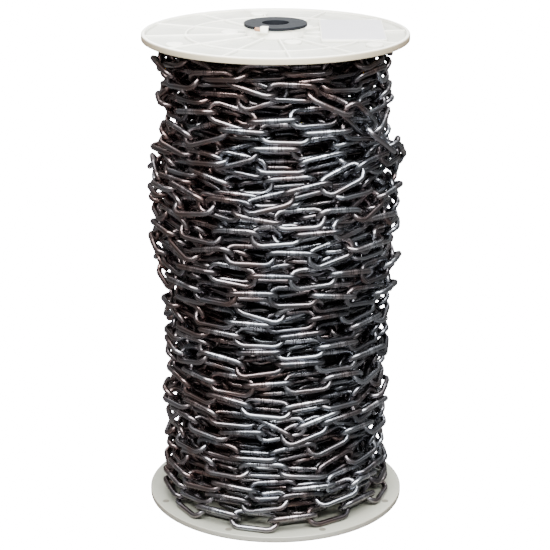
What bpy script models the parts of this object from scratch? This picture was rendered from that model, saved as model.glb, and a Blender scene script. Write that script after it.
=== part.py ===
# Reel of long-link steel chain, standing on end: two moulded flanges on a core tube,
# a spindle bush in each hub, and the wound chain between the flanges.
# Metres, +Z up. The origin is the centre of the face that the reel stands on.

import math

import bmesh
import bpy
from mathutils import Matrix, Vector

# Driving dimensions
WIRE = 0.005              # chain wire diameter
LINK_PITCH = 0.035        # inside length of a link
LINK_WIDTH = 0.020        # outside width of a link
FLANGE_RADIUS = 0.1125
FLANGE_DEPTH = 0.0055     # depth of the flange's rim
REEL_HEIGHT = 0.417       # from rim face to rim face
BORE_RADIUS = 0.0113      # spindle bore
TURNS = 28                # turns in the outer layer
LINKS_PER_TURN = 16
CHAIN_RADIUS = 0.100      # to the top of the links that stand on edge

GAP = 0.0003              # clearance between neighbouring solids
FUSE = 0.001              # how far a joined shape sinks into what it stands on

# Flange, measured outwards from its inner face
PLATE = 0.0022
RIM_WIDTH = 0.003
RING_RIB_RADIUS = 0.0752
RING_RIB_TOP = 0.0042
RIB_COUNT = 12
RIB_PHASE = math.radians(6.5)
RIB_WIDTH = 0.0016
RIB_TOP_AT_HUB = 0.0047
RIB_TOP = 0.0044
COLLAR_RADIUS = 0.025
COLLAR_TOP = 0.0102
SPIGOT_LENGTH = 0.012
BUSH_SEAT_DEPTH = FLANGE_DEPTH - PLATE - GAP
BOSS_RADIUS = 0.0065
BOSS_TAPER = 0.92
BOSS_TOP = 0.0036
OUTER_BOSS_RING = 0.094
INNER_BOSS_RING = 0.039
OUTER_BOSS_ANGLES = (99, -31, -151)
INNER_BOSS_ANGLES = (171, 51, -69)

# Flat field for a label on the upper flange
PAD_CENTRE = Vector((0.0645, 0.010))
PAD_SIZE = Vector((0.054, 0.088))
PAD_TOP = 0.0049
LABEL_SIZE = Vector((0.052, 0.086))
LABEL_THICKNESS = 0.0003

# Hook lug that holds the upper bush down
LUG_ANGLES = (math.radians(-135), math.radians(-102))
LUG_OUTER_RADIUS = 0.029
LUG_REACH = 0.0022
LUG_ROOF = 0.0012

# Bushes and core tube
BUSH_DISC_RADIUS = 0.0266
BUSH_DISC = 0.0025
BUSH_RADIUS = 0.020
BUSH_LENGTH = 0.0265
TUBE_INNER = 0.026
TUBE_OUTER = 0.030

# Roundness: sides of a full circle
RIM_SIDES = 48
BUSH_SIDES = 36
BOSS_SIDES = 12
LUG_STEPS = 5

# Worked out from the sizes above
LOWER_FACE = FLANGE_DEPTH
UPPER_FACE = REEL_HEIGHT - FLANGE_DEPTH
HUB_RADIUS = BUSH_RADIUS + GAP
SPIGOT_RADIUS = TUBE_INNER - GAP
LINK_LENGTH = LINK_PITCH + 2 * WIRE
STATION_ANGLE = 2 * math.pi / LINKS_PER_TURN
PATH_RADIUS = CHAIN_RADIUS - LINK_WIDTH / 2
STRAND_FLAT = PATH_RADIUS + WIRE / 2
EYE_HALF = LINK_PITCH - LINK_LENGTH / 2
EYE_SIDE = LINK_WIDTH / 2 - WIRE
CREST_HALF = LINK_LENGTH / 2 - LINK_WIDTH * 0.3
KEEL_RADIUS = PATH_RADIUS - LINK_WIDTH / 2
KEEL_HALF_ANGLE = CREST_HALF / LINK_PITCH * STATION_ANGLE
CORE_RADIUS = KEEL_RADIUS * math.cos(KEEL_HALF_ANGLE) - GAP

COLOURS = {
    "ivory_polypropylene": ((0.80, 0.79, 0.73), 0.42, 0.0),
    "grey_nylon": ((0.085, 0.09, 0.10), 0.5, 0.0),
    "grey_board": ((0.42, 0.33, 0.24), 0.85, 0.0),
    "bright_steel": ((0.30, 0.29, 0.29), 0.33, 1.0),
    "label_film": ((0.72, 0.72, 0.76), 0.3, 0.0),
}


def clear_scene():
    for obj in list(bpy.data.objects):
        bpy.data.objects.remove(obj)


def material(name):
    found = bpy.data.materials.get(name)
    if found:
        return found
    colour, roughness, metallic = COLOURS[name]
    made = bpy.data.materials.new(name)
    made.use_nodes = True
    shader = made.node_tree.nodes["Principled BSDF"]
    shader.inputs["Base Color"].default_value = (*colour, 1)
    shader.inputs["Roughness"].default_value = roughness
    shader.inputs["Metallic"].default_value = metallic
    return made


def add_object(name, bm, material_name):
    bmesh.ops.recalc_face_normals(bm, faces=bm.faces)
    mesh = bpy.data.meshes.new(name)
    bm.to_mesh(mesh)
    bm.free()
    mesh.shade_smooth()
    mesh.set_sharp_from_angle(angle=math.radians(30))
    mesh.materials.append(material(material_name))
    obj = bpy.data.objects.new(name, mesh)
    bpy.context.scene.collection.objects.link(obj)
    return obj


def turned(profile, sides, angle=2 * math.pi, start=0.0):
    """A closed outline of (radius, height) points, spun round the Z axis."""
    whole = math.isclose(angle, 2 * math.pi)
    bm = bmesh.new()
    corners = [bm.verts.new((radius, 0, height)) for radius, height in profile]
    edges = [bm.edges.new((corners[i - 1], corners[i])) for i in range(len(corners))]
    section = corners + edges + ([] if whole else [bm.faces.new(corners)])
    bmesh.ops.rotate(bm, verts=corners, cent=(0, 0, 0), matrix=Matrix.Rotation(start, 3, "Z"))
    bmesh.ops.spin(
        bm, geom=section, cent=(0, 0, 0), axis=(0, 0, 1), angle=angle, steps=sides, use_merge=whole
    )
    return bm


def add_box(bm, centre, size):
    made = bmesh.ops.create_cube(bm, size=1)["verts"]
    bmesh.ops.scale(bm, vec=size, verts=made)
    bmesh.ops.translate(bm, vec=centre, verts=made)


def ribs(start_radius, start_top):
    """The radial ribs, each a side outline that is given its width and turned to its angle."""
    bm = bmesh.new()
    root = PLATE / 2
    end_radius = FLANGE_RADIUS - RIM_WIDTH / 2
    outline = (
        (start_radius, root),
        (end_radius, root),
        (end_radius, RIB_TOP),
        (RING_RIB_RADIUS, RIB_TOP),
        (start_radius, start_top),
    )
    for index in range(RIB_COUNT):
        side = bm.faces.new([bm.verts.new((x, -RIB_WIDTH / 2, z)) for x, z in outline])
        grown = bmesh.ops.extrude_face_region(bm, geom=[side], use_keep_orig=True)["geom"]
        far = [item for item in grown if isinstance(item, bmesh.types.BMVert)]
        bmesh.ops.translate(bm, vec=(0, RIB_WIDTH, 0), verts=far)
        turn = Matrix.Rotation(RIB_PHASE + index * 2 * math.pi / RIB_COUNT, 3, "Z")
        bmesh.ops.rotate(bm, verts=side.verts[:] + far, cent=(0, 0, 0), matrix=turn)
    return bm


def add_boss(bm, ring_radius, degrees):
    """A low round boss that stands on the plate."""
    angle = math.radians(degrees)
    made = bmesh.ops.create_cone(
        bm, cap_ends=True, segments=BOSS_SIDES, radius1=BOSS_RADIUS,
        radius2=BOSS_RADIUS * BOSS_TAPER, depth=BOSS_TOP - PLATE / 2,
    )["verts"]
    place = (ring_radius * math.cos(angle), ring_radius * math.sin(angle), (BOSS_TOP + PLATE / 2) / 2)
    bmesh.ops.translate(bm, vec=place, verts=made)


def flange_profile(hub):
    """Outline of a flange's section, from the hub's bore round by the inner face to the rim."""
    rim_inner = FLANGE_RADIUS - RIM_WIDTH
    rib_half = RIB_WIDTH / 2
    return [
        (HUB_RADIUS, -SPIGOT_LENGTH),
        (SPIGOT_RADIUS, -SPIGOT_LENGTH),
        (SPIGOT_RADIUS, 0),
        (FLANGE_RADIUS, 0),
        (FLANGE_RADIUS, FLANGE_DEPTH),
        (rim_inner, FLANGE_DEPTH),
        (rim_inner, PLATE),
        (RING_RIB_RADIUS + rib_half, PLATE),
        (RING_RIB_RADIUS + rib_half, RING_RIB_TOP),
        (RING_RIB_RADIUS - rib_half, RING_RIB_TOP),
        (RING_RIB_RADIUS - rib_half, PLATE),
        *hub,
    ]


def join_to(obj, helper_bm, name):
    """Fuses a helper's shapes into obj with a Boolean modifier."""
    helper = add_object(name, helper_bm, "ivory_polypropylene")
    helper.hide_render = True
    helper.display_type = "WIRE"
    helper.matrix_world = obj.matrix_world
    fuse = obj.modifiers.new(name, "BOOLEAN")
    fuse.operation = "UNION"
    fuse.solver = "EXACT"
    fuse.object = helper


def add_bosses(bm):
    for degrees in OUTER_BOSS_ANGLES:
        add_boss(bm, OUTER_BOSS_RING, degrees)
    for degrees in INNER_BOSS_ANGLES:
        add_boss(bm, INNER_BOSS_RING, degrees)


def make_upper_flange():
    """Outer face up, with a tall collar, a label field and a hook lug over the bush."""
    collar = [(COLLAR_RADIUS, PLATE), (COLLAR_RADIUS, COLLAR_TOP), (HUB_RADIUS, COLLAR_TOP)]
    flange = add_object(
        "upper_flange", turned(flange_profile(collar), RIM_SIDES), "ivory_polypropylene"
    )
    flange.location.z = UPPER_FACE
    bpy.context.view_layer.update()
    join_to(flange, ribs(COLLAR_RADIUS - FUSE, RIB_TOP_AT_HUB), "upper_ribs")

    bosses = bmesh.new()
    add_bosses(bosses)
    join_to(flange, bosses, "upper_bosses")

    field = bmesh.new()
    root = PLATE / 2
    add_box(
        field,
        (PAD_CENTRE.x, PAD_CENTRE.y, (PAD_TOP + root) / 2),
        (PAD_SIZE.x, PAD_SIZE.y, PAD_TOP - root),
    )
    join_to(flange, field, "label_field")

    roof = COLLAR_TOP + GAP + BUSH_DISC + GAP
    lug_outline = [
        (COLLAR_RADIUS - FUSE, root),
        (LUG_OUTER_RADIUS, root),
        (LUG_OUTER_RADIUS, roof + LUG_ROOF),
        (BUSH_DISC_RADIUS - LUG_REACH, roof + LUG_ROOF),
        (BUSH_DISC_RADIUS - LUG_REACH, roof),
        (BUSH_DISC_RADIUS + GAP, roof),
        (BUSH_DISC_RADIUS + GAP, COLLAR_TOP - FUSE),
        (COLLAR_RADIUS - FUSE, COLLAR_TOP - FUSE),
    ]
    first, last = LUG_ANGLES
    join_to(flange, turned(lug_outline, LUG_STEPS, last - first, first), "hook_lug")


def make_lower_flange():
    """The same moulding turned over, with its hub cut flush so that the reel stands on its rim."""
    seat = FLANGE_DEPTH - BUSH_SEAT_DEPTH
    seat_radius = BUSH_DISC_RADIUS + GAP
    hub = [
        (TUBE_OUTER, PLATE),
        (TUBE_OUTER, FLANGE_DEPTH),
        (seat_radius, FLANGE_DEPTH),
        (seat_radius, seat),
        (HUB_RADIUS, seat),
    ]
    flange = add_object(
        "lower_flange", turned(flange_profile(hub), RIM_SIDES), "ivory_polypropylene"
    )
    flange.rotation_euler.x = math.pi
    flange.location.z = LOWER_FACE
    bpy.context.view_layer.update()
    join_to(flange, ribs(TUBE_OUTER - FUSE, RIB_TOP), "lower_ribs")


def bush_profile():
    """A flanged bush, measured upwards from the seat of its disc."""
    return [
        (BORE_RADIUS, -BUSH_LENGTH),
        (BUSH_RADIUS, -BUSH_LENGTH),
        (BUSH_RADIUS, 0),
        (BUSH_DISC_RADIUS, 0),
        (BUSH_DISC_RADIUS, BUSH_DISC),
        (BORE_RADIUS, BUSH_DISC),
    ]


def make_bushes():
    upper = add_object("upper_bush", turned(bush_profile(), BUSH_SIDES), "grey_nylon")
    upper.location.z = UPPER_FACE + COLLAR_TOP + GAP
    lower = add_object("lower_bush", turned(bush_profile(), BUSH_SIDES), "grey_nylon")
    lower.rotation_euler.x = math.pi
    lower.location.z = BUSH_SEAT_DEPTH - GAP


def make_label():
    bm = bmesh.new()
    add_box(bm, (0, 0, 0), (LABEL_SIZE.x, LABEL_SIZE.y, LABEL_THICKNESS))
    label = add_object("blank_label", bm, "label_film")
    label.location = (
        PAD_CENTRE.x, PAD_CENTRE.y, UPPER_FACE + PAD_TOP + GAP + LABEL_THICKNESS / 2
    )


def make_drum(name, inner, outer, sides, material_name):
    """A plain tube between the two flanges."""
    low, high = LOWER_FACE + GAP, UPPER_FACE - GAP
    profile = [(inner, low), (outer, low), (outer, high), (inner, high)]
    add_object(name, turned(profile, sides), material_name)


def on_drum(along, across, out):
    """Place on the drum of a point measured along a strand, across it and out from its flat links."""
    angle = along / LINK_PITCH * STATION_ANGLE
    radius = STRAND_FLAT + out
    return Vector((radius * math.cos(angle), radius * math.sin(angle), across))


def outline_points(bm, outline, along, out):
    return [bm.verts.new(on_drum(along + x, z, out)) for x, z in outline]


def add_flat_link(bm, along):
    """A link lying flat, open at its eye. Returns the outline and eye of its top and of its underside."""
    tip, shoulder, half_wire = LINK_LENGTH / 2, LINK_WIDTH / 2, WIRE / 2
    right = [(tip, -half_wire), (tip, half_wire), (shoulder, shoulder)]
    left = [(-shoulder, shoulder), (-tip, half_wire), (-tip, -half_wire), (-shoulder, -shoulder)]
    outline = right + left + [(shoulder, -shoulder)]
    eye = [(EYE_HALF, -EYE_SIDE), (EYE_HALF, EYE_SIDE), (-EYE_HALF, EYE_SIDE), (-EYE_HALF, -EYE_SIDE)]
    levels = [
        (outline_points(bm, outline, along, out), outline_points(bm, eye, along, out))
        for out in (0, -WIRE)
    ]
    for rim, lip in levels:
        bm.faces.new((rim[2], rim[3], lip[2], lip[1]))
        bm.faces.new((rim[6], rim[7], lip[0], lip[3]))
        for first, corner in ((1, 1), (3, 2), (5, 3), (7, 0)):
            bm.faces.new((rim[first], rim[(first + 1) % 8], lip[corner]))
    (top, upper_lip), (under, lower_lip) = levels
    for side in range(4):
        bm.faces.new((upper_lip[side - 1], upper_lip[side], lower_lip[side], lower_lip[side - 1]))
    for side in (1, 2, 3, 5, 6, 7):
        following = (side + 1) % 8
        bm.faces.new((top[side], top[following], under[following], under[side]))
    return levels


def add_standing_link(bm, along, before, after):
    """A link on edge between two flat ones: one leg outside them, one inside, and a slot between the legs."""
    half_wire = WIRE / 2
    corners = [(-CREST_HALF, -half_wire), (CREST_HALF, -half_wire)]
    corners += [(-x, -z) for x, z in corners]
    legs = (CHAIN_RADIUS - STRAND_FLAT, KEEL_RADIUS - STRAND_FLAT)
    for out, (rim_a, lip_a), (rim_b, lip_b) in zip(legs, before, after):
        edge = outline_points(bm, corners, along, out)
        bm.faces.new(edge)
        bm.faces.new((lip_a[0], lip_a[1], edge[3], edge[0]))
        bm.faces.new((lip_b[2], lip_b[3], edge[1], edge[2]))
        bm.faces.new((rim_a[0], rim_b[5], rim_b[4], rim_a[1]))
        sides = (
            (lip_a[0], rim_a[0], lip_b[3], rim_b[5], edge[0], edge[1]),
            (lip_a[1], rim_a[1], lip_b[2], rim_b[4], edge[3], edge[2]),
        )
        for near_lip, near_rim, far_lip, far_rim, near_edge, far_edge in sides:
            bm.faces.new((near_lip, near_rim, near_edge))
            bm.faces.new((near_rim, far_rim, far_edge, near_edge))
            bm.faces.new((far_rim, far_lip, far_edge))
    (top_a, _), (under_a, _) = before
    (top_b, _), (under_b, _) = after
    bm.faces.new((top_a[0], top_a[1], under_a[1], under_a[0]))
    bm.faces.new((top_b[4], top_b[5], under_b[5], under_b[4]))


def make_turns():
    """The outer layer, turn by turn, each set one link on from its neighbour."""
    first = LOWER_FACE + GAP + LINK_WIDTH / 2
    last = UPPER_FACE - GAP - LINK_WIDTH / 2
    for turn in range(TURNS):
        bm = bmesh.new()
        starts = [(2 * pair + turn % 2) * LINK_PITCH for pair in range(LINKS_PER_TURN // 2)]
        flat_links = [add_flat_link(bm, start) for start in starts]
        for index, start in enumerate(starts):
            following = flat_links[(index + 1) % len(flat_links)]
            add_standing_link(bm, start + LINK_PITCH, flat_links[index], following)
        ring = add_object(f"chain_turn_{turn + 1:02d}", bm, "bright_steel")
        ring.location.z = first + (last - first) * turn / (TURNS - 1)


clear_scene()
make_lower_flange()
make_upper_flange()
make_bushes()
make_label()
make_drum("core_tube", TUBE_INNER, TUBE_OUTER, BUSH_SIDES, "grey_board")
make_drum("inner_layers", TUBE_OUTER + GAP, CORE_RADIUS, RIM_SIDES, "bright_steel")
make_turns()
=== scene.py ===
import math
import bmesh
import bpy
import numpy as np
from mathutils import Matrix, Vector


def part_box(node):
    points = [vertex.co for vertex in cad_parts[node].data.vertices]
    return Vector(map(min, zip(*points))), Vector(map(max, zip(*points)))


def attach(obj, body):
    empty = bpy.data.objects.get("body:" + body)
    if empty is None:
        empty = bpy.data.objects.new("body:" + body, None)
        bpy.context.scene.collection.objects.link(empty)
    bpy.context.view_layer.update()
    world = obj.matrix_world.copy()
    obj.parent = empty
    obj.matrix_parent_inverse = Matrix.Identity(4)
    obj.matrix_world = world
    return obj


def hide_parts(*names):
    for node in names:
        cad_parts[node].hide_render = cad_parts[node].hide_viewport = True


# Reel of long-link steel chain: the looks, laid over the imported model. Metres, +Z up.
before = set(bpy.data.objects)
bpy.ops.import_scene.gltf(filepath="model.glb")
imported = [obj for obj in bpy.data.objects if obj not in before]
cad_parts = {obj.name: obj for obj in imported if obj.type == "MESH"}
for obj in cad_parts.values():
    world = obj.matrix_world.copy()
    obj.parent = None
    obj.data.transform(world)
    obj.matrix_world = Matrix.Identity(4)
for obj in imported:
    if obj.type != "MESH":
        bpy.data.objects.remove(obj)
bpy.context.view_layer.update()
print("frame loaded:", len(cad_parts), "nodes")


# Helpers for materials and meshes

def linear(hexColour):
    # an sRGB hex colour as linear RGBA
    parts = [int(hexColour[i:i + 2], 16) / 255 for i in (1, 3, 5)]
    return [p / 12.92 if p <= 0.04045 else ((p + 0.055) / 1.055) ** 2.4 for p in parts] + [1.0]


def feed(tree, node, inputs):
    # gives a node its inputs, each a value or the socket that feeds it
    for key, value in inputs.items():
        if isinstance(value, bpy.types.NodeSocket):
            tree.links.new(value, node.inputs[key])
        else:
            node.inputs[key].default_value = value


def addNode(tree, kind, settings=None, inputs=None):
    node = tree.nodes.new(kind)
    for key, value in (settings or {}).items():
        setattr(node, key, value)
    feed(tree, node, inputs or {})
    return node


def makeRamp(tree, value, stops):
    # a colour ramp with its stops, each a position and a grey from 0 to 1
    ramp = addNode(tree, "ShaderNodeValToRGB", None, {"Fac": value})
    elements = ramp.color_ramp.elements
    elements[0].position, elements[1].position = stops[0][0], stops[-1][0]
    for position, grey in stops[1:-1]:
        elements.new(position)
    for element, (position, grey) in zip(elements, stops):
        element.color = (grey, grey, grey, 1)
    return ramp.outputs["Color"]


def makeNoise(tree, spot, scale, detail, distortion=0.0):
    return addNode(tree, "ShaderNodeTexNoise", None, {
        "Vector": spot, "Scale": scale, "Detail": detail, "Distortion": distortion}).outputs["Fac"]


def makeBump(tree, height, strength, distance):
    return addNode(tree, "ShaderNodeBump", None, {
        "Height": height, "Strength": strength, "Distance": distance}).outputs["Normal"]


def mixColours(tree, factor, a, b, way="MIX"):
    return addNode(tree, "ShaderNodeMix", {"data_type": "RGBA", "blend_type": way}, {
        "Factor": factor, "A": a, "B": b}).outputs["Result"]


def mapRange(tree, value, least, full, low=0.0, high=1.0):
    # takes a value that runs from least to full to one that runs from low to high
    return addNode(tree, "ShaderNodeMapRange", None, {
        "Value": value, "From Min": least, "From Max": full, "To Min": low, "To Max": high}).outputs["Result"]


def calculate(tree, operation, *values, clamp=False):
    settings = {"operation": operation, "use_clamp": clamp}
    return addNode(tree, "ShaderNodeMath", settings, dict(enumerate(values))).outputs["Value"]


def newMaterial(name, inputs):
    made = bpy.data.materials.new(name)
    made.use_nodes = True
    shader = made.node_tree.nodes["Principled BSDF"]
    feed(made.node_tree, shader, inputs)
    return made, made.node_tree, shader


edgeFinish = {
    "sharpAngle": 35,        # degrees from which the shading breaks at an edge
    "roundedAngle": 40,      # degrees from which an edge of the reel is rounded
    "radius": 0.0003,
    "segments": 3,
}


def newPiece(name, bm, material):
    mesh = bpy.data.meshes.new(name)
    bm.to_mesh(mesh)
    bm.free()
    mesh.materials.append(material)
    mesh.shade_smooth()
    mesh.set_sharp_from_angle(angle=math.radians(edgeFinish["sharpAngle"]))
    piece = bpy.data.objects.new(name, mesh)
    bpy.context.scene.collection.objects.link(piece)
    return piece


def roundEdges(piece):
    bevel = piece.modifiers.new("edges", "BEVEL")
    bevel.width = edgeFinish["radius"]
    bevel.segments = edgeFinish["segments"]
    bevel.limit_method = "ANGLE"
    bevel.angle_limit = math.radians(edgeFinish["roundedAngle"])
    bevel.harden_normals = True


def spunSection(bm, section, steps, startAngle=0.0, angle=2 * math.pi):
    # spins a closed section of (radius, height) points round the reel's axis
    whole = math.isclose(angle, 2 * math.pi)
    corners = [bm.verts.new((r, 0, z)) for r, z in section]
    rim = [bm.edges.new((corners[i - 1], corners[i])) for i in range(len(corners))]
    geometry = corners + rim + ([] if whole else [bm.faces.new(corners)])
    bmesh.ops.rotate(bm, verts=corners, cent=(0, 0, 0), matrix=Matrix.Rotation(startAngle, 3, "Z"))
    bmesh.ops.spin(bm, geom=geometry, cent=(0, 0, 0), axis=(0, 0, 1), angle=angle, steps=steps,
                   use_merge=whole)
    return bm


def place(bm, height, turnedOver=False):
    # puts a part modelled with its inner face at height 0 in its place on the reel
    if turnedOver:
        bmesh.ops.rotate(bm, verts=bm.verts, cent=(0, 0, 0), matrix=Matrix.Rotation(math.pi, 3, "X"))
    bmesh.ops.translate(bm, verts=bm.verts, vec=(0, 0, height))
    bmesh.ops.recalc_face_normals(bm, faces=bm.faces)


# Camera, floor and light

view = {
    "focal": 1862 / 550 * 36,      # 1862 px in a frame of 550 px, as mm on a 36 mm sensor
    "distance": 1.542,             # in front of the reel's axis
    "height": 0.709,               # over the floor
    "pitch": 18.18,                # degrees below level
    "aside": -0.00045,
}


def makeCamera():
    data = bpy.data.cameras.new("camera")
    data.lens = view["focal"]
    data.clip_end = 20
    camera = bpy.data.objects.new("camera", data)
    camera.location = (view["aside"], -view["distance"], view["height"])
    camera.rotation_euler = (math.radians(90 - view["pitch"]), 0, 0)
    bpy.context.scene.collection.objects.link(camera)
    bpy.context.scene.camera = camera


studio = {
    "floorSide": 14.0,
    "floorColour": "#4A4A49",
    "floorGlow": 18.0,           # the white backdrop, lit from behind, as the camera sees it
    "sky": ((0.0, 0.18), (0.35, 0.33), (0.6, 0.69), (0.8, 1.12), (1.0, 1.5)),   # height, brightness
    "lights": (
        # name, place, size, watts
        ("frontSoftbox", (0.0, -0.98, 1.6), (2.4, 0.8), 212),
        ("backSoftbox", (0.0, 0.98, 1.6), (2.0, 0.8), 32),
        ("frontFill", (0.0, -2.4, 0.6), (2.0, 1.0), 12),
    ),
}


def makeStudio():
    bm = bmesh.new()
    bmesh.ops.create_grid(bm, x_segments=1, y_segments=1, size=studio["floorSide"] / 2)
    paper, tree, shader = newMaterial("studioPaper", {
        "Roughness": 0.9, "Base Color": linear(studio["floorColour"]), "Emission Color": linear("#FFFFFF")})
    seen = addNode(tree, "ShaderNodeLightPath").outputs["Is Camera Ray"]
    feed(tree, shader, {"Emission Strength": calculate(tree, "MULTIPLY", seen, studio["floorGlow"])})
    floor = newPiece("floor", bm, paper)
    # the room: dark at the horizon and brighter towards the ceiling
    world = bpy.data.worlds.new("studio")
    world.use_nodes = True
    room = world.node_tree
    way = addNode(room, "ShaderNodeTexCoord").outputs["Generated"]
    up = addNode(room, "ShaderNodeSeparateXYZ", None, {"Vector": way}).outputs["Z"]
    brightest = studio["sky"][-1][1]
    sky = makeRamp(room, up, [(height, value / brightest) for height, value in studio["sky"]])
    straight = addNode(room, "ShaderNodeLightPath").outputs["Is Camera Ray"]
    feed(room, room.nodes["Background"], {
        "Color": mixColours(room, straight, sky, linear("#FFFFFF")),
        "Strength": mapRange(room, straight, 0.0, 1.0, brightest, studio["floorGlow"])})
    bpy.context.scene.world = world
    for name, spot, size, watts in studio["lights"]:
        data = bpy.data.lights.new(name, "AREA")
        data.shape = "RECTANGLE"
        data.size, data.size_y = size
        data.energy = watts
        lamp = bpy.data.objects.new(name, data)
        lamp.location = spot
        aim = Vector((0, 0, 0.22)) - Vector(spot)
        lamp.rotation_euler = aim.to_track_quat("-Z", "Y").to_euler()
        bpy.context.scene.collection.objects.link(lamp)


makeCamera()
makeStudio()
print("camera and studio made")


# Materials of the reel

plastics = {
    # the first colour is that of the ribs' tops, lightened as painted highlight, and the second that of the
    # plate, greyed by dust and darkened as painted shade; face and relief are the plate's height and how far
    # the ribs stand up from it; then how much of the face gets painted shadow of the chain, with grease from
    # it; dust is the x where it begins and where it is thickest, its share and its colour
    "upper": {"name": "mouldedPolypropylene", "reliefTop": "#FFFEF4", "reliefFoot": "#AFB1A8", "rim": "#B1A78D",
              "shadedOldRim": "#83755F", "face": 0.4137, "relief": 0.0023, "chainShadowAndGrime": 0.0,
              "dust": (-0.02, 0.08, 0.35, "#A19F94")},
    # the lower flange's colours are darker than the upper's: partly grease from the chain, partly painted
    # shade, as it lies low and under the chain
    "lower": {"name": "soiledAndShadedPolypropylene", "reliefTop": "#999A8E", "reliefFoot": "#8A8A80", "rim": "#9F9E93",
              "shadedOldRim": "#868174", "face": 0.0, "relief": 0.0055, "chainShadowAndGrime": 0.75,
              "dust": (0.03, -0.08, 0.60, "#7B7C72")},
    "lug": {"name": "glueStainedPolypropylene", "reliefTop": "#A98468", "reliefFoot": "#8A6248", "rim": "#BBB196",
            "shadedOldRim": "#8E806B", "face": 0.0, "relief": 1.0, "chainShadowAndGrime": 0.0,
            "dust": (0.0, 1.0, 0.0, "#A19F94")},
    # the ejector marks are painted dark: painted shade of a shallow hollow, with some dirt
    "mark": {"name": "shadedEjectorMarkPolypropylene", "reliefTop": "#6A675C", "reliefFoot": "#5A574E", "rim": "#6F6B5F",
             "shadedOldRim": "#6F6B5F", "face": 0.0, "relief": 1.0, "chainShadowAndGrime": 0.0,
             "dust": (0.0, 1.0, 0.0, "#A19F94")},
}
wearAndPaintedLight = {
    # where each kind of dirt and ageing, and each painted highlight and shade, lies on all of the reel's
    # plastic, and how strong it is
    "rubbedAndLit": ((0.0, 0.1), (0.06, 0.0), (0.25, 0.0), (0.7, 0.6), (1.0, 1.0)),   # way up a rib, cleanness, with painted shade at its foot and painted highlight towards its top
    # painted shadow of the chain, with grease from it, on the face by the chain
    "chainShadowAndGrime": (0.111, 0.090),              # radii where it begins and where it is thickest
    "chainShadowAndGrimeColour": "#6D6E64",
    "yellowedAndSideShade": (0.035, 0.108),           # how far aside the rim's yellowing, and its painted shade, begin and are strongest
    "rimSide": (0.1115, 0.1124, 0.95),    # radii where the rim's colour, partly painted shade, takes over, its share
    "specks": (420.0, 1.0, 0.0, 0.74, 0.78, 0.55),   # scale, detail, distortion, noise from, to, share
    "smears": (20.0, 6.0, 1.5, 0.55, 0.80, 0.35),
    "dirt": "#979081",
}


def makePolypropylene(look):
    # polypropylene, injection moulded: ivory, slightly translucent, with a fine satin skin
    made, tree, shader = newMaterial(look["name"], {
        "IOR": 1.49, "Subsurface Weight": 0.15, "Subsurface Scale": 0.002,
        "Subsurface Radius": (1.0, 0.9, 0.75)})
    spot = addNode(tree, "ShaderNodeTexCoord").outputs["Object"]
    axes = addNode(tree, "ShaderNodeSeparateXYZ", None, {"Vector": spot}).outputs
    # the plate is handled and dusty, and rubbing has freed the tops of the ribs and the rim of dust; besides,
    # the ribs' feet are painted darker as painted shade, and the tops of the ribs and the rim lighter as
    # painted highlight
    cloud = makeNoise(tree, spot, 40.0, 5.0)
    height = mapRange(tree, axes["Z"], look["face"], look["face"] + look["relief"])
    feet = makeRamp(tree, height, wearAndPaintedLight["rubbedAndLit"])
    rubbedAndLit = calculate(tree, "MULTIPLY_ADD", cloud, 0.35, feet, clamp=True)
    tone = mixColours(tree, rubbedAndLit, linear(look["reliefFoot"]), linear(look["reliefTop"]))
    # the rim's side has turned yellowish, and is painted darker as painted shade, both most at the left and
    # right where it turns from the light
    ageAndSideShade = mapRange(tree, calculate(tree, "ABSOLUTE", axes["X"]), *wearAndPaintedLight["yellowedAndSideShade"])
    yellowAndSideShade = mixColours(tree, ageAndSideShade, linear(look["rim"]), linear(look["shadedOldRim"]))
    flat = addNode(tree, "ShaderNodeVectorMath", {"operation": "MULTIPLY"}, {0: spot, 1: (1.0, 1.0, 0.0)})
    length = addNode(tree, "ShaderNodeVectorMath", {"operation": "LENGTH"}, {0: flat.outputs["Vector"]})
    radius = length.outputs["Value"]
    # over the plate: dust on one side, painted shadow of the chain with grease from it, darkest by the chain,
    # and the rim's colour, partly painted shade
    begins, thickest, share, dust = look["dust"]
    for value, begins, full, share, colour in (
            (axes["X"], begins, thickest, share, linear(dust)),
            (radius, *wearAndPaintedLight["chainShadowAndGrime"], look["chainShadowAndGrime"], linear(wearAndPaintedLight["chainShadowAndGrimeColour"])),
            (radius, *wearAndPaintedLight["rimSide"], yellowAndSideShade)):
        tone = mixColours(tree, mapRange(tree, value, begins, full, 0.0, share), tone, colour)
    # dirt: specks about 1 mm across, and smears in patches some 50 mm across
    stains = []
    for scale, detail, distortion, least, full, share in (wearAndPaintedLight["specks"], wearAndPaintedLight["smears"]):
        noise = makeNoise(tree, spot, scale, detail, distortion)
        stains.append(mapRange(tree, noise, least, full, 0.0, share))
    # under it a satin skin, its grain about 1 mm
    feed(tree, shader, {
        "Base Color": mixColours(tree, calculate(tree, "MAXIMUM", *stains), tone, linear(wearAndPaintedLight["dirt"])),
        "Roughness": mapRange(tree, cloud, 0.0, 1.0, 0.38, 0.55),
        "Normal": makeBump(tree, makeNoise(tree, spot, 1000.0, 2.0), 0.15, 0.0002)})
    return made


nylons = {
    # name, the two colours of its mottle, specular level, and the least and most roughness
    # the nylon of the sides and bore is painted darker, as painted shade, and that of the disc's flat face
    # lighter, as painted light from above, besides its scuffs
    "moulded": ("mouldedAndShadedNylon", "#0A0C10", "#12151B", 0.15, 0.65, 0.85),
    "scuffedAndLit": ("scuffedAndLitNylon", "#121518", "#1F2227", 0.24, 0.42, 0.66),
}


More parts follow.
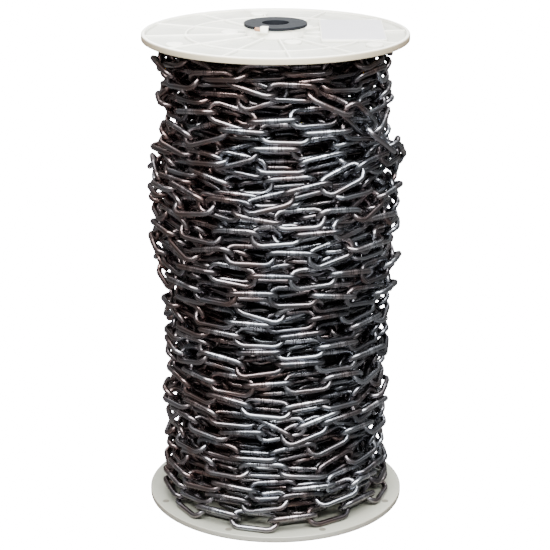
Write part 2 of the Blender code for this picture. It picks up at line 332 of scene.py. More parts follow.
def makeNylon(name, dark, light, specular, smoothest, roughest):
    # glass-filled nylon, moulded: dark grey and satin, with the fibres' fine mottle some 2 mm across
    made, tree, shader = newMaterial(name, {"IOR": 1.53, "Specular IOR Level": specular})
    spot = addNode(tree, "ShaderNodeTexCoord").outputs["Object"]
    grain = makeNoise(tree, spot, 480.0, 4.0)
    feed(tree, shader, {
        "Base Color": mixColours(tree, grain, linear(dark), linear(light)),
        "Roughness": mapRange(tree, grain, 0.0, 1.0, smoothest, roughest),
        "Normal": makeBump(tree, grain, 0.2, 0.0002)})
    return made


def makeLabelFilm():
    # polyester label film: blank, a cooler white than the reel, satin, and rippled by rubbing it down
    made, tree, shader = newMaterial("blankLabelFilm", {"Roughness": 0.36, "IOR": 1.5})
    spot = addNode(tree, "ShaderNodeTexCoord").outputs["Object"]
    cloud = makeNoise(tree, spot, 60.0, 3.0)
    feed(tree, shader, {
        "Base Color": mixColours(tree, cloud, linear("#D6D5D9"), linear("#CBCACF")),
        "Normal": makeBump(tree, cloud, 0.3, 0.0005)})
    return made


def makeBoard():
    # paperboard, wound as a spiral tube: brown, matt, with a seam line every 60 mm of height
    made, tree, shader = newMaterial("spiralWoundBoard", {"Roughness": 0.85})
    spot = addNode(tree, "ShaderNodeTexCoord").outputs["Object"]
    seams = addNode(tree, "ShaderNodeTexWave", {"bands_direction": "Z", "wave_profile": "SAW"}, {
        "Vector": spot, "Scale": 5.2, "Distortion": 0.4})
    seam = mapRange(tree, seams.outputs["Fac"], 0.95, 1.0, 0.0, 0.5)
    tone = mixColours(tree, makeNoise(tree, spot, 250.0, 4.0), linear("#8E7558"), linear("#75604A"))
    feed(tree, shader, {"Base Color": mixColours(tree, seam, tone, linear("#3E3226"))})
    return made


# Flanges

flange = {
    "radius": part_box("lower_flange")[1].x,
    "innerFaces": (0.0055, 0.4115),
    "depth": 0.0055,
    "plate": 0.0022,
    "rimWidth": 0.003,
    "rimChamfer": 0.0004,
    "rimCurve": ((0.0, 0.0015), (0.0002, 0.0007), (0.0007, 0.0002), (0.0015, 0.0)),   # inwards, down
    "fillet": 0.0008,                # at the feet of the rim and the ribs
    "ringRib": (0.0752, 0.0042),     # radius, height
    "ribCount": 12,
    "ribPhase": math.radians(6.5),
    "ribWidth": 0.0016,
    "ribTop": 0.0045,
    "ribTaper": 0.85,                # width at the top, as a share of that at the foot
    "overlap": 0.001,                # how far ribs and lug run into what they stand on
    "collar": (0.025, 0.0102),       # radius, height
    "bore": 0.0203,
    "spigot": (0.0257, -0.012),      # radius, end
    "lowerHub": (0.030, 0.0269, 0.003),   # radius, radius and depth of the seat for the bush
    "bosses": ((0.094, (99, -31, -151)), (0.039, (171, 51, -69))),   # radius of the ring, degrees
    "boss": (0.0078, 0.0070, 0.0043),     # radius at the foot and at the top, height
    "pad": ((0.0645, 0.010), (0.054, 0.088), 0.0049, 0.002),   # centre, size, height, corner
    "ejectorMarks": (8, -22.5, 0.1048, 0.0032, 0.00015),   # count, first, ring, radius, height
    "steps": 144,
}
lug = {
    "turns": (-127, -116, -103),     # degrees: its start, the head's start and its end
    "radius": 0.029,                 # of its outer side
    "thick": 0.0021,
    "roof": (0.0133, 0.0009),        # height of the head's underside, its thickness
    "reach": 0.0006,                 # how far in over the disc, past the collar's side
    "sunk": 0.0002,                  # into the collar
    "foot": (0.0003, 0.0020, 0.0010, 0.0005),   # set back, depth inside and outside, rise
    "stainedWall": (0.0008, 0.0002),      # how far below the roof it ends, outside and inside
}
plastic = {part: makePolypropylene(look) for part, look in plastics.items()}
nylon = {finish: makeNylon(*look) for finish, look in nylons.items()}
labelFilm = makeLabelFilm()
board = makeBoard()


def flangeBody(hub):
    # from the spigot out to the rim, over it and back across the plate and the ring rib to the hub
    f = flange
    inner, outer = f["radius"] - f["rimWidth"], f["radius"]
    depth, plate, fillet, chamfer = f["depth"], f["plate"], f["fillet"], f["rimChamfer"]
    ringRadius, ringTop = f["ringRib"]
    half = f["ribWidth"] / 2
    section = [
        (f["bore"], f["spigot"][1]), f["spigot"], (f["spigot"][0], 0),
        (outer - chamfer, 0), (outer, chamfer), *((outer - x, depth - z) for x, z in f["rimCurve"]),
        (inner, depth), (inner, plate + fillet), (inner - fillet, plate),
        (ringRadius + half + fillet, plate), (ringRadius + half, plate + fillet),
        (ringRadius + half, ringTop), (ringRadius - half, ringTop),
        (ringRadius - half, plate + fillet), (ringRadius - half - fillet, plate), *hub]
    return spunSection(bmesh.new(), section, f["steps"])


def addRibs(bm, start):
    # ribs like spokes, from the given radius into the rim
    f = flange
    plate, fillet = f["plate"], f["fillet"]
    half = f["ribWidth"] / 2
    across = [(-half - f["overlap"], plate / 2), (-half - fillet, plate), (-half, plate + fillet),
              (-half * f["ribTaper"], f["ribTop"])]
    across += [(-y, z) for y, z in reversed(across)]
    end = f["radius"] - f["rimWidth"] / 2
    for index in range(f["ribCount"]):
        face = bm.faces.new([bm.verts.new((start, y, z)) for y, z in across])
        grown = bmesh.ops.extrude_face_region(bm, geom=[face], use_keep_orig=True)["geom"]
        far = [item for item in grown if isinstance(item, bmesh.types.BMVert)]
        bmesh.ops.translate(bm, verts=far, vec=(end - start, 0, 0))
        turn = Matrix.Rotation(f["ribPhase"] + index * 2 * math.pi / f["ribCount"], 3, "Z")
        bmesh.ops.rotate(bm, verts=face.verts[:] + far, cent=(0, 0, 0), matrix=turn)


def addDisc(bm, ring, degrees, foot, top, low, high, slot=0):
    # a round boss or mark on the plate
    made = bmesh.ops.create_cone(
        bm, cap_ends=True, segments=32, radius1=foot, radius2=top, depth=high - low)
    spot = Matrix.Rotation(math.radians(degrees), 3, "Z") @ Vector((ring, 0, (low + high) / 2))
    bmesh.ops.translate(bm, verts=made["verts"], vec=spot)
    for face in {face for v in made["verts"] for face in v.link_faces}:
        face.material_index = slot


def addBlock(bm, centre, size, low, high, corner):
    # a block with round upright corners
    made = bmesh.ops.create_cube(bm, size=1.0)["verts"]
    bmesh.ops.scale(bm, verts=made, vec=(size[0], size[1], high - low))
    bmesh.ops.translate(bm, verts=made, vec=(centre[0], centre[1], (low + high) / 2))
    upright = [e for v in made for e in v.link_edges if abs(e.verts[0].co.z - e.verts[1].co.z) > 1e-6]
    bmesh.ops.bevel(bm, geom=list(set(upright)), offset=corner, affect="EDGES", segments=5, profile=0.5,
                    material=-1)


def addLug(bm):
    # the hook that holds the bush down: its foot stands out from the collar, its head reaches over the
    # disc's edge, and beside the head a lower wall is stained by glue
    first, middle, last = lug["turns"]
    radius = lug["radius"]
    roof, thick = lug["roof"]
    collarRadius, collarTop = flange["collar"]
    inside, tip = radius - lug["thick"], collarRadius - lug["reach"]
    root, bottom = collarRadius - flange["overlap"], collarTop - lug["sunk"]
    setBack, insideDepth, outsideDepth, rise = lug["foot"]
    outsideDrop, insideDrop = lug["stainedWall"]
    foot = [(root, bottom - insideDepth), (radius - setBack, bottom - outsideDepth),
            (radius - setBack, bottom + rise), (inside, bottom + rise), (inside, bottom), (root, bottom)]
    head = [(inside, bottom), (radius, bottom), (radius, roof + thick), (tip, roof + thick), (tip, roof),
            (inside, roof)]
    wall = [(inside, bottom), (radius, bottom), (radius, roof - outsideDrop), (inside, roof - insideDrop)]
    spunSection(bm, foot, 8, math.radians(first), math.radians(last - first))
    spunSection(bm, head, 6, math.radians(middle), math.radians(last - middle))
    before = set(bm.faces)
    spunSection(bm, wall, 6, math.radians(first), math.radians(middle - first))
    for face in set(bm.faces) - before:
        face.material_index = 1


def makeUpperFlange():
    f = flange
    collarRadius, collarTop = f["collar"]
    bm = flangeBody([(collarRadius, f["plate"]), (collarRadius, collarTop), (f["bore"], collarTop)])
    addRibs(bm, collarRadius - f["overlap"])
    foot, top, high = f["boss"]
    for ring, turns in f["bosses"]:
        for degrees in turns:
            addDisc(bm, ring, degrees, foot, top, f["plate"] / 2, high)
    centre, size, high, corner = f["pad"]
    addBlock(bm, centre, size, f["plate"] / 2, high, corner)
    addLug(bm)
    place(bm, f["innerFaces"][1])
    piece = newPiece("upperFlangeMoulding", bm, plastic["upper"])
    piece.data.materials.append(plastic["lug"])
    roundEdges(piece)
    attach(piece, "root")
    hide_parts("upper_flange")


def makeLowerFlange():
    f = flange
    hubRadius, seatRadius, seatDepth = f["lowerHub"]
    seat = f["depth"] - seatDepth
    bm = flangeBody([(hubRadius, f["plate"]), (hubRadius, f["depth"]), (seatRadius, f["depth"]),
                     (seatRadius, seat), (f["bore"], seat)])
    addRibs(bm, hubRadius - f["overlap"])
    # ejector marks, painted dark as painted shade of a shallow hollow, with some dirt
    count, first, ring, radius, height = f["ejectorMarks"]
    for index in range(count):
        degrees = first + index * 360 / count
        addDisc(bm, ring, degrees, radius - height, radius, -height, f["plate"] / 2, 1)
    place(bm, f["innerFaces"][0], turnedOver=True)
    piece = newPiece("lowerFlangeMoulding", bm, plastic["lower"])
    piece.data.materials.append(plastic["mark"])
    roundEdges(piece)
    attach(piece, "root")
    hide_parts("lower_flange")


bush = {
    "bore": 0.0113,
    "sleeve": 0.020,
    "length": 0.0265,
    "discRadius": 0.0266,
    "disc": 0.0025,
    "steps": 96,
    "seats": (
        # piece, node, height of the seat, turned over
        ("upperSpindleBush", "upper_bush", 0.4220, False),
        ("lowerSpindleBush", "lower_bush", 0.0027, True),
    ),
}


def makeBushes():
    b = bush
    disc, end = b["disc"], b["disc"] - b["length"]
    for name, node, seat, turnedOver in b["seats"]:
        bm = spunSection(bmesh.new(), [
            (b["bore"], disc), (b["bore"], end), (b["sleeve"], end),
            (b["sleeve"], 0), (b["discRadius"], 0), (b["discRadius"], disc)], b["steps"])
        # the sides and bore keep the darker nylon, painted darker as painted shade
        for face in bm.faces:
            if min(v.co.z for v in face.verts) > disc * 0.99:
                face.material_index = 1     # its flat face bears scuffs from the rack's washer, and is painted lighter as painted light from above
        place(bm, seat, turnedOver)
        piece = newPiece(name, bm, nylon["moulded"])
        piece.data.materials.append(nylon["scuffedAndLit"])
        roundEdges(piece)
        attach(piece, "root")
        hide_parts(node)


label = {
    "smaller": 0.002,        # than the pad it lies on, each way
    "thick": 0.0006,
    "corner": 0.003,
}


def makeLabel():
    centre, size, top, _ = flange["pad"]
    low = flange["innerFaces"][1] + top
    size = [side - label["smaller"] for side in size]
    bm = bmesh.new()
    addBlock(bm, centre, size, low, low + label["thick"], label["corner"])
    piece = newPiece("blankLabelSheet", bm, labelFilm)
    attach(piece, "root")
    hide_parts("blank_label")


makeUpperFlange()
makeLowerFlange()
makeBushes()
makeLabel()
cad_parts["core_tube"].data.materials.clear()
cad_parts["core_tube"].data.materials.append(board)
print("reel made")


# Chain: laid turn by turn, then settled as rigid links that push each other apart

chain = {
    "wire": 0.005,
    "pitch": 0.035,
    "width": 0.020,
    "layers": (0.0625, 0.0762, 0.0895),   # path radius of each layer
    "rows": 28,
    "drum": (0.031, 0.054),          # the layers below are a plain core, painted dark as painted shade: its two radii
    "reach": 0.1121,                 # nothing sticks out past this radius,
    "low": 0.0058,                   # below this height
    "high": 0.4112,                  # or above this one
    "slack": 0.965,                  # distance between joints, as a share of the pitch
    "sway": (0.0012, 18),            # how far a layer swells and shrinks, over how many steps of 2 degrees
    "loops": (0.020, 0.55, 9),       # how far loose loops stand out, how rare they are, and over how many
    "wander": ((0.0042, 13), (0.0045, 36)),   # how far a strand strays from its row, over 1 and 3 links
    "strayOutside": (0.0060, 30),    # and the outermost layer's strand besides
    "buckle": 0.0045,                # how far a joint lies above or below its strand
    "bulge": 0.0015,                 # and how far out or in
    "topPlay": 0.002,                # how far over the last row's height a joint may lie
    "levelTurns": 0.85,              # of the outermost layer, before it climbs
    "bottomDrop": 0.0065,            # how much lower its first turn lies
    "bottomSpread": (0.0050, 1.4, 2.5),   # how much wider its lowest turns are, and how that fades
    "lean": (45, 38, 16),            # degrees: to each side in turn, wandering over 5 links, at random
    "leadIn": 0.8,                   # least turn in radians from the last layer to the last run
    "lastRun": (                     # azimuth, height and radius of the strand that crosses the others
        (-112, 0.396, 0.0965), (-66, 0.381, 0.098), (-10, 0.309, 0.104), (60, 0.296, 0.101),
        (235, 0.282, 0.100), (256, 0.286, 0.103), (308, 0.322, 0.104), (345, 0.318, 0.102),
        (600, 0.292, 0.100), (60 + 6 * 360, 0.204, 0.0985), (110 + 6 * 360, 0.190, 0.098)),
    "seed": 20,
}
settling = {
    "steps": 640,
    "growing": 200,          # steps over which the links grow to full size
    "slim": 0.55,            # share of their width that they start at
    "arcSteps": 3,           # straight pieces that stand for a crown
    "margin": 0.003,         # wires this near each other are watched,
    "lookEvery": 8,          # and looked for again after so many steps
    "play": (-0.003, 0.0003, 0.0015),     # of a joint: closer, farther apart and sideways
    "inertia": (45e-6, 190e-6, 235e-6),   # of one link about its own axes, over its mass
    "push": 2.0,             # a link that is touched in more places than this shares out its pushes
    "longestMove": 0.0015,   # in one step
    "longestTurn": 0.12,     # and in radians
    "pull": 0.00003,         # back towards the laid radius, in one step
    "free": 220,             # last steps, without that pull
}
wire, pitch = chain["wire"], chain["pitch"]
crown = (chain["width"] - wire) / 2         # crown radius at the wire's middle
legHalf = pitch / 2 + wire / 2 - crown      # half of a straight leg
wireLength = 4 * legHalf + 2 * math.pi * crown


def smoothNoise(rng, count, span):
    # a value that wanders between -1 and 1 over about span samples
    knots = rng.uniform(-1, 1, int(count / span) + 4)
    at = np.arange(count) / span
    low = at.astype(int)
    part = at - low
    part = part * part * (3 - 2 * part)
    return knots[low] * (1 - part) + knots[low + 1] * part


def evenSteps(path, step):
    # points one step apart along a path
    lengths = np.concatenate([[0], np.cumsum(np.linalg.norm(np.diff(path, axis=0), axis=1))])
    at = np.arange(int(lengths[-1] / step)) * step
    return np.column_stack([np.interp(at, lengths, path[:, k]) for k in range(3)])


def layPath(rng):
    # the winding: up one layer and down the next, then a last run that crosses the layer below
    step = math.radians(2)
    low, high = chain["low"] + chain["width"] / 2, chain["high"] - chain["width"] / 2
    lowest, highest = low - chain["bottomDrop"], high + chain["topPlay"]
    perTurn = int(2 * math.pi / step)
    count = (chain["rows"] - 1) * perTurn
    heights, radii = [], []
    for index, radius in enumerate(chain["layers"]):
        along = np.linspace(0, 1, count) if index % 2 == 0 else np.linspace(1, 0, count)
        outermost = index == len(chain["layers"]) - 1
        loose, rare, span = chain["loops"]
        loops = np.maximum(smoothNoise(rng, count, span) - rare, 0)
        sway, span = chain["sway"]
        out = radius + sway * smoothNoise(rng, count, span)
        if outermost:
            # the first turn lies on the lower flange, and the next few spread over it
            turnsIn = np.arange(count) / perTurn
            level = chain["levelTurns"]
            along = np.clip((turnsIn - level) / (chain["rows"] - 1 - level), 0, 1)
            spread, full, fading = chain["bottomSpread"]
            out += loose * loops + np.clip(full - turnsIn / fading, 0, 1) * spread
        height = low + along * (high - low)
        if outermost:
            height -= np.clip(2.0 - turnsIn, 0, 1) * chain["bottomDrop"]    # less over the second turn
            stray, span = chain["strayOutside"]
            height += stray * smoothNoise(rng, count, span)
        heights.append(height)
        radii.append(out)
    theta = (sum(len(run) for run in heights) - 1) * step
    azimuths, runHeights, runRadii = np.array(chain["lastRun"]).T
    azimuths = np.radians(azimuths)
    turnsBefore = math.ceil((theta + chain["leadIn"] - azimuths[0]) / (2 * math.pi))
    azimuths += turnsBefore * 2 * math.pi
    at = np.arange(theta + step, azimuths[-1], step)
    azimuths = np.concatenate([[theta], azimuths])
    heights.append(np.interp(at, azimuths, np.concatenate([[high], runHeights])))
    radii.append(np.interp(at, azimuths, np.concatenate([[chain["layers"][-1]], runRadii])))
    height, out = np.concatenate(heights), np.concatenate(radii)
    turn = np.arange(len(height)) * step
    count = len(height)
    (short, overOne), (long, overThree) = chain["wander"]
    height += short * smoothNoise(rng, count, overOne) + long * smoothNoise(rng, count, overThree)
    height = np.clip(height, lowest, highest)
    path = np.column_stack([out * np.cos(turn), out * np.sin(turn), height])
    joints = evenSteps(path, pitch * chain["slack"])
    # the chain is slack, so it buckles from link to link
    count = len(joints)
    joints[:, 2] += chain["buckle"] * rng.uniform(-1, 1, count)
    joints[:, 2] = np.clip(joints[:, 2], lowest, highest)
    bulge = chain["bulge"] * rng.uniform(-1, 1, count)
    joints[:, :2] *= (1 + bulge / np.linalg.norm(joints[:, :2], axis=1))[:, None]
    return joints


def linkFrames(joints, rng):
    # each link's middle and axes between two joints, leaning one way and then the other
    middle = (joints[1:] + joints[:-1]) / 2
    axis = joints[1:] - joints[:-1]
    axis /= np.linalg.norm(axis, axis=1)[:, None]
    side = np.cross(axis, middle * (1, 1, 0))
    side /= np.linalg.norm(side, axis=1)[:, None]
    outward = np.cross(side, axis)
    count = len(middle)
    steady, wandering, random = [math.radians(degrees) for degrees in chain["lean"]]
    lean = steady * (np.arange(count) % 2 * 2 - 1)
    lean += wandering * smoothNoise(rng, count, 5) + random * rng.uniform(-1, 1, count)
    normal = np.cos(lean)[:, None] * outward + np.sin(lean)[:, None] * side
    return middle, np.stack([axis, np.cross(normal, axis), normal], 2)


def linkCorners(share):
    # a link's centre line as a polygon, at a share of its full width, for finding where wires touch
    arcSteps = settling["arcSteps"]
    grow = 1 + (1 - math.cos(math.pi / arcSteps / 2)) / 2
    turns = (np.arange(arcSteps + 1) / arcSteps - 0.5) * math.pi
    narrow = crown * share
    leg = pitch / 2 + wire * share / 2 - narrow
    end = np.stack([leg + narrow * grow * np.cos(turns), narrow * np.sin(turns)], 1)
    both = np.concatenate([end, -end])
    return np.column_stack([both, np.zeros(len(both))])


def dot(a, b):
    return np.einsum("ij,ij->i", a, b)


def closestPlaces(startA, runA, startB, runB):
    # how far along each of two segments their nearest points lie
    between = startA - startB
    aa, bb, ab = dot(runA, runA), dot(runB, runB), dot(runA, runB)
    a, b = dot(runA, between), dot(runB, between)
    lean = aa * bb - ab * ab
    crossing = np.clip((ab * b - a * bb) / np.maximum(lean, 1e-18), 0, 1)
    alongA = np.where(lean > 1e-6 * aa * bb, crossing, 0.5)   # its middle, where they are parallel
    alongB = np.clip((ab * alongA + b) / bb, 0, 1)
    return np.clip((ab * alongB - a) / aa, 0, 1), alongB


def nearSegments(middle, points, runs):
    # pairs of wire segments on different links that touch or nearly do
    margin = settling["margin"]
    spread = np.linalg.norm(middle[:, None] - middle[None], axis=2)
    i, j = np.nonzero(np.triu(spread < 2 * (legHalf + crown) + wire + margin, 1))
    centres = points + runs / 2
    half = np.linalg.norm(runs[0], axis=1) / 2
    apart = np.linalg.norm(centres[i][:, :, None] - centres[j][:, None], axis=3)
    pair, u, v = np.nonzero(apart < half[:, None] + half[None] + wire + margin)
    i, j = i[pair], j[pair]
    s, t = closestPlaces(points[i, u], runs[i, u], points[j, v], runs[j, v])
    gap = points[i, u] + runs[i, u] * s[:, None] - points[j, v] - runs[j, v] * t[:, None]
    near = dot(gap, gap) < (wire + margin) ** 2
    return i[near], j[near], u[near], v[near]


def limitPushes(points):
    # pushes that keep the wires on the drum, between the flanges and inside the flanges' rims
    radius = np.linalg.norm(points[:, :, :2], axis=2)
    outward = points * (1, 1, 0) / radius[:, :, None]
    up = np.broadcast_to((0.0, 0.0, 1.0), points.shape)
    height = points[:, :, 2]
    walls = (
        (chain["drum"][1] + wire / 2 - radius, outward), (radius + wire / 2 - chain["reach"], -outward),
        (chain["low"] + wire / 2 - height, up), (height + wire / 2 - chain["high"], -up))
    found = []
    for depth, way in walls:
        link, corner = np.nonzero(depth > 0)
        found.append((link, points[link, corner], way[link, corner], depth[link, corner]))
    return [np.concatenate(column) for column in zip(*found)]


def jointPushes(middle, turn):
    # pulls that keep each link's end within the play it has in the next one's crown
    ahead, behind = middle[:-1] + turn[:-1, :, 0] * pitch / 2, middle[1:] - turn[1:, :, 0] * pitch / 2
    error = behind - ahead
    along = dot(error, turn[:-1, :, 0])
    sideways = error - along[:, None] * turn[:-1, :, 0]
    size = np.linalg.norm(sideways, axis=1) + 1e-9
    closer, farther, aside = settling["play"]
    extra = (along - np.clip(along, closer, farther))[:, None] * turn[:-1, :, 0]
    extra += sideways * (np.maximum(size - aside, 0) / size)[:, None]
    amount = np.linalg.norm(extra, axis=1)
    link = np.nonzero(amount > 1e-6)[0]
    return link, ahead[link], behind[link], extra[link] / amount[link][:, None], amount[link]


def settle(middle, turn):
    # the links start slim and grow to full size, pushing each other apart wherever they touch
    laid = np.linalg.norm(middle[:, :2], axis=1)
    inertia = np.array(settling["inertia"])
    count = len(middle)
    steps, slim = settling["steps"], settling["slim"]
    for step in range(steps):
        grown = min(1.0, slim + (1 - slim) * step / settling["growing"])
        thick = wire * grown
        corners = linkCorners(grown)
        following = (np.arange(len(corners)) + 1) % len(corners)
        points = np.einsum("nij,mj->nmi", turn, corners) + middle[:, None]
        runs = points[:, following] - points
        if step % settling["lookEvery"] == 0:
            i, j, u, v = nearSegments(middle, points, runs)
        s, t = closestPlaces(points[i, u], runs[i, u], points[j, v], runs[j, v])
        onA, onB = points[i, u] + runs[i, u] * s[:, None], points[j, v] + runs[j, v] * t[:, None]
        gap = onA - onB
        apart = np.linalg.norm(gap, axis=1) + 1e-9
        hit = apart < thick
        jointLink, ahead, behind, way, amount = jointPushes(middle, turn)
        bodyA, bodyB = np.concatenate([i[hit], jointLink]), np.concatenate([j[hit], jointLink + 1])
        onA, onB = np.concatenate([onA[hit], ahead]), np.concatenate([onB[hit], behind])
        way = np.concatenate([gap[hit] / apart[hit][:, None], way])
        amount = np.concatenate([thick - apart[hit], amount])
        wallLink, wallPoint, wallWay, wallAmount = limitPushes(points)

        easy = np.einsum("nij,j,nkj->nik", turn, 1 / inertia, turn)
        twistA, twistB = np.cross(onA - middle[bodyA], way), np.cross(onB - middle[bodyB], way)
        wallTwist = np.cross(wallPoint - middle[wallLink], wallWay)
        giveA = 1 + np.einsum("ni,nij,nj->n", twistA, easy[bodyA], twistA)
        giveB = 1 + np.einsum("ni,nij,nj->n", twistB, easy[bodyB], twistB)
        wallGive = 1 + np.einsum("ni,nij,nj->n", wallTwist, easy[wallLink], wallTwist)
        share = amount / (giveA + giveB)
        wallShare = wallAmount / wallGive

        def gather(onLinkA, onLinkB, onWall):
            total = [np.bincount(bodyA, share * onLinkA[:, k], count)
                     - np.bincount(bodyB, share * onLinkB[:, k], count)
                     + np.bincount(wallLink, wallShare * onWall[:, k], count) for k in range(3)]
            return np.stack(total, 1)

        touches = sum(np.bincount(who, minlength=count) for who in (bodyA, bodyB, wallLink))
        ease = (settling["push"] / np.maximum(touches, settling["push"]))[:, None]
        move = gather(way, way, wallWay) * ease
        spin = np.einsum("nij,nj->ni", easy, gather(twistA, twistB, wallTwist)) * ease
        size = np.linalg.norm(move, axis=1)[:, None] + 1e-12
        middle = middle + move * np.minimum(1, settling["longestMove"] / size)
        radius = np.linalg.norm(middle[:, :2], axis=1)
        pull = settling["pull"] * (step < steps - settling["free"])
        middle[:, :2] *= (1 - np.clip(radius - laid, -pull, pull) / radius)[:, None]
        turn = turned(turn, spin)
        if step % 100 == 99:
            deepest = round(float((thick - apart).max() * 1000), 2)
            print("  step", step + 1, "deepest overlap", deepest, "mm")
    return middle, turn


def turned(turn, spin):
    # turns every link by its own small rotation, and keeps its axes square
    size = np.linalg.norm(spin, axis=1)
    way = spin / np.maximum(size, 1e-12)[:, None]
    size = np.minimum(size, settling["longestTurn"])[:, None, None]
    cross = np.zeros((len(spin), 3, 3))
    cross[:, 0, 1], cross[:, 0, 2], cross[:, 1, 2] = -way[:, 2], way[:, 1], -way[:, 0]
    cross -= np.transpose(cross, (0, 2, 1))
    turn = (np.eye(3) + np.sin(size) * cross + (1 - np.cos(size)) * (cross @ cross)) @ turn
    x = turn[:, :, 0] / np.linalg.norm(turn[:, :, 0], axis=1)[:, None]
    z = np.cross(x, turn[:, :, 1])
    z /= np.linalg.norm(z, axis=1)[:, None]
    return np.stack([x, np.cross(z, x), z], 2)


weld = {
    "middle": 1.06,          # thickness at the weld's line, as a share of the wire's
    "bead": (0.0026, 1.1),   # the bead's place on each side of it, and its thickness
    "end": 0.0038,           # where the wire has its own thickness again
}


def linkShape(sides, crownSteps):
    # one link: a ring of wire drawn out along the legs and spun round the crowns, thicker at its weld
    bead, swell = weld["bead"]
    bm = bmesh.new()
    ring = bmesh.ops.create_circle(bm, cap_ends=False, segments=sides, radius=wire / 2)["verts"]
    bmesh.ops.rotate(bm, verts=ring, cent=(0, 0, 0), matrix=Matrix.Rotation(math.pi / 2, 3, "Y"))
    bmesh.ops.translate(bm, verts=ring, vec=(0, crown, 0))
    edges = bm.edges[:]

    def drawTo(edges, x, swell=1.0, y=crown):
        grown = bmesh.ops.extrude_edge_only(bm, edges=edges)["geom"]
        verts = [item for item in grown if isinstance(item, bmesh.types.BMVert)]
        centre = sum((v.co for v in verts), Vector()) / len(verts)
        radius = (verts[0].co - centre).length
        for v in verts:
            v.co = Vector((x, y, 0)) + (v.co - centre) * (wire / 2 * swell / radius)
        return [item for item in grown if isinstance(item, bmesh.types.BMEdge)]

    def spinCrown(edges, x):
        spun = bmesh.ops.spin(bm, geom=edges, cent=(x, 0, 0), axis=(0, 0, -1), angle=math.pi,
                              steps=crownSteps)["geom_last"]
        return [item for item in spun if isinstance(item, bmesh.types.BMEdge)]

    for v in ring:
        v.co.yz = Vector((crown, 0)) + (v.co.yz - Vector((crown, 0))) * weld["middle"]
    edges = drawTo(edges, bead, swell)
    edges = drawTo(edges, weld["end"])
    edges = drawTo(edges, legHalf)
    edges = spinCrown(edges, legHalf)
    edges = drawTo(edges, -legHalf, 1.0, -crown)
    edges = spinCrown(edges, -legHalf)
    edges = drawTo(edges, -weld["end"])
    edges = drawTo(edges, -bead, swell)
    drawTo(edges, 0.0, weld["middle"])
    bmesh.ops.remove_doubles(bm, verts=bm.verts, dist=1e-5)
    bmesh.ops.recalc_face_normals(bm, faces=bm.faces)
    return bm


def joinedLinks(name, bm, middle, turn, tones, material):
    # one mesh of many copies of a link, each with its own tone and its place along the wire
    shape = bpy.data.meshes.new(name)
    bm.to_mesh(shape)
    bm.free()
    count = len(middle)
    verts, loops, faces = len(shape.vertices), len(shape.loops), len(shape.polygons)
    co = np.empty(verts * 3)
    shape.vertices.foreach_get("co", co)
    co = co.reshape(-1, 3)
    corner = np.empty(loops, int)
    shape.loops.foreach_get("vertex_index", corner)
    start = np.empty(faces, int)
    shape.polygons.foreach_get("loop_start", start)
    mesh = bpy.data.meshes.new(name)
    mesh.vertices.add(count * verts)
    mesh.loops.add(count * loops)
    mesh.polygons.add(count * faces)
    every = np.einsum("nij,mj->nmi", turn, co) + middle[:, None]
    mesh.vertices.foreach_set("co", every.ravel())
    mesh.loops.foreach_set("vertex_index", (corner[None] + np.arange(count)[:, None] * verts).ravel())
    mesh.polygons.foreach_set("loop_start", (start[None] + np.arange(count)[:, None] * loops).ravel())
    mesh.update(calc_edges=True)
    mesh.shade_smooth()

    # along the wire from the weld, and across its section
    x, y, z = co.T
    onCrown = np.abs(x) > legHalf
    swing = np.arctan2(np.abs(x) - legHalf, y)
    onLeg = np.where(y > 0, np.abs(x), wireLength / 2 - np.abs(x))
    along = np.where(onCrown, legHalf + crown * swing, onLeg)
    out = np.where(onCrown, np.hypot(np.abs(x) - legHalf, y), np.abs(y)) - crown
    places = np.tile(np.column_stack([along, out, z]), (count, 1))
    mesh.attributes.new("wirePlace", "FLOAT_VECTOR", "POINT").data.foreach_set("vector", places.ravel())
    mesh.attributes.new("linkTone", "FLOAT", "POINT").data.foreach_set("value", np.repeat(tones, verts))
    mesh.materials.append(material)
    piece = bpy.data.objects.new(name, mesh)
    bpy.context.scene.collection.objects.link(piece)
    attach(piece, "root")
    return piece


steels = {
    # name and the darkest and lightest film; the inner layers' film is darker, partly oil that has stayed on
    # them, partly painted shade deep in the winding
    "outer": ("drawnSteelWire", "#515257", "#8D9096"),
    "inner": ("oilyShadedDrawnSteelWire", "#424347", "#737679"),
}
rust = {
    "colour": "#685652",
    "patches": (30.0, 0.46, 0.74, 0.9),   # scale, least and full noise value, share of the brown
    "left": (0.0, -0.09, 0.20),           # x where it begins and is full, what it adds to the noise
    "high": (0.37, 0.40, 0.12),           # and the same by height
}
clampRings = (
    # centimetres along the wire from the weld's line, and how light the wire is there
    (0.0, 0.95), (0.20, 0.90), (0.27, 0.10), (0.35, 0.95), (0.48, 0.16), (0.58, 0.75), (0.80, 0.5))


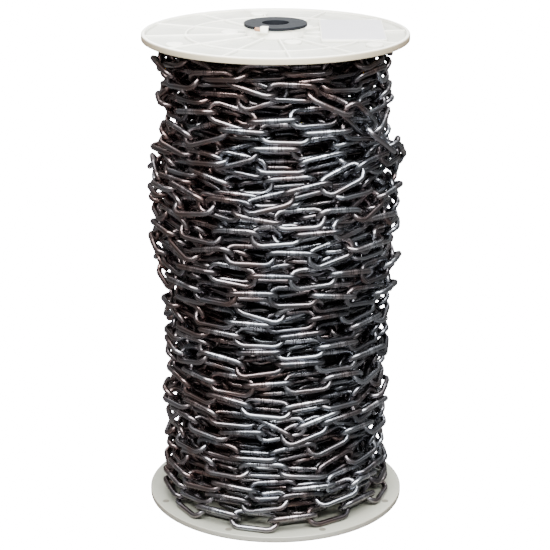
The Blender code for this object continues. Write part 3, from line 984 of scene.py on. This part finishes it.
def makeChainSteel(name, dark, light):
    # mild steel wire, drawn, bent and butt welded: a bright ridge under a thin dark film of oil
    made, tree, shader = newMaterial(name, {"Metallic": 1.0})
    spot = addNode(tree, "ShaderNodeTexCoord").outputs["Object"]
    wirePlace = addNode(tree, "ShaderNodeAttribute", {"attribute_name": "wirePlace"}).outputs["Vector"]
    tone = addNode(tree, "ShaderNodeAttribute", {"attribute_name": "linkTone"}).outputs["Fac"]
    # each link's film, from grey to nearly black
    film = mixColours(tree, tone, linear(dark), linear(light))
    # rust has browned the wire in patches some 30 mm across, most under the top flange, and the wire is
    # browner towards the left
    scale, least, full, share = rust["patches"]
    axes = addNode(tree, "ShaderNodeSeparateXYZ", None, {"Vector": spot}).outputs
    damp = []
    for axis, (begins, strongest, added) in (("X", rust["left"]), ("Z", rust["high"])):
        damp.append(mapRange(tree, axes[axis], begins, strongest, 0.0, added))
    rusty = calculate(tree, "ADD", makeNoise(tree, spot, scale, 3.0), calculate(tree, "ADD", *damp))
    brown = mapRange(tree, rusty, least, full, 0.0, share)
    browned = mixColours(tree, brown, film, linear(rust["colour"]))
    # the weld: scraped bright, between dark rings left by the clamps, all within 8 mm of its line
    along = addNode(tree, "ShaderNodeSeparateXYZ", None, {"Vector": wirePlace}).outputs["X"]
    rings = makeRamp(tree, mapRange(tree, along, 0.0, 0.010), clampRings)
    # drawing leaves fine lines along the wire, and the oil lies unevenly over them
    streakPlace = addNode(tree, "ShaderNodeVectorMath", {"operation": "MULTIPLY"}, {
        0: wirePlace, 1: (60.0, 900.0, 900.0)})
    streaks = makeNoise(tree, streakPlace.outputs["Vector"], 1.0, 1.0)
    feed(tree, shader, {
        "Base Color": mixColours(tree, 1.0, browned, rings, "OVERLAY"),
        "Roughness": mapRange(tree, streaks, 0.3, 0.7, 0.250, 0.285)})
    return made


chainPieces = (
    # piece, least and greatest radius of its links, sides of the wire, steps round a crown, steel, nodes
    ("chainDeepLayer", 0.0, 0.0695, 6, 4, "inner", []),
    ("chainMiddleLayer", 0.0695, 0.082, 6, 4, "inner", ["inner_layers"]),
    ("chainOuterLayer", 0.082, 1.0, 8, 6, "outer",
     [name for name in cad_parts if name.startswith("chain_turn")]),
)


def makeChain():
    rng = np.random.default_rng(chain["seed"])
    joints = layPath(rng)
    middle, turn = linkFrames(joints, rng)
    print("chain laid:", len(middle), "links")
    middle, turn = settle(middle, turn)
    print("chain settled")
    steel = {kind: makeChainSteel(*look) for kind, look in steels.items()}
    tones = rng.uniform(0, 1, len(middle))
    radius = np.linalg.norm(middle[:, :2], axis=1)
    for name, nearest, farthest, sides, steps, kind, nodes in chainPieces:
        mine = (radius >= nearest) & (radius < farthest)
        shape = linkShape(sides, steps)
        piece = joinedLinks(name, shape, middle[mine], turn[mine], tones[mine], steel[kind])
        print(name, int(mine.sum()), "links,", len(piece.data.polygons) * 2, "triangles")
        if nodes:
            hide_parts(*nodes)


def makeChainCore():
    # the layers too deep to be seen: what shows of them between the links is painted a dark brownish grey, as
    # painted shade deep in the winding
    core, _, _ = newMaterial("shadedDeepChain", {
        "Metallic": 0.3, "Roughness": 0.6, "Base Color": linear("#3E3B3A")})
    low, high = chain["low"], chain["high"]
    inside, outside = chain["drum"]
    bm = spunSection(bmesh.new(), [(inside, low), (outside, low), (outside, high), (inside, high)], 48)
    bmesh.ops.recalc_face_normals(bm, faces=bm.faces)
    piece = newPiece("chainCore", bm, core)
    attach(piece, "root")


makeChain()
makeChainCore()
print("chain made")
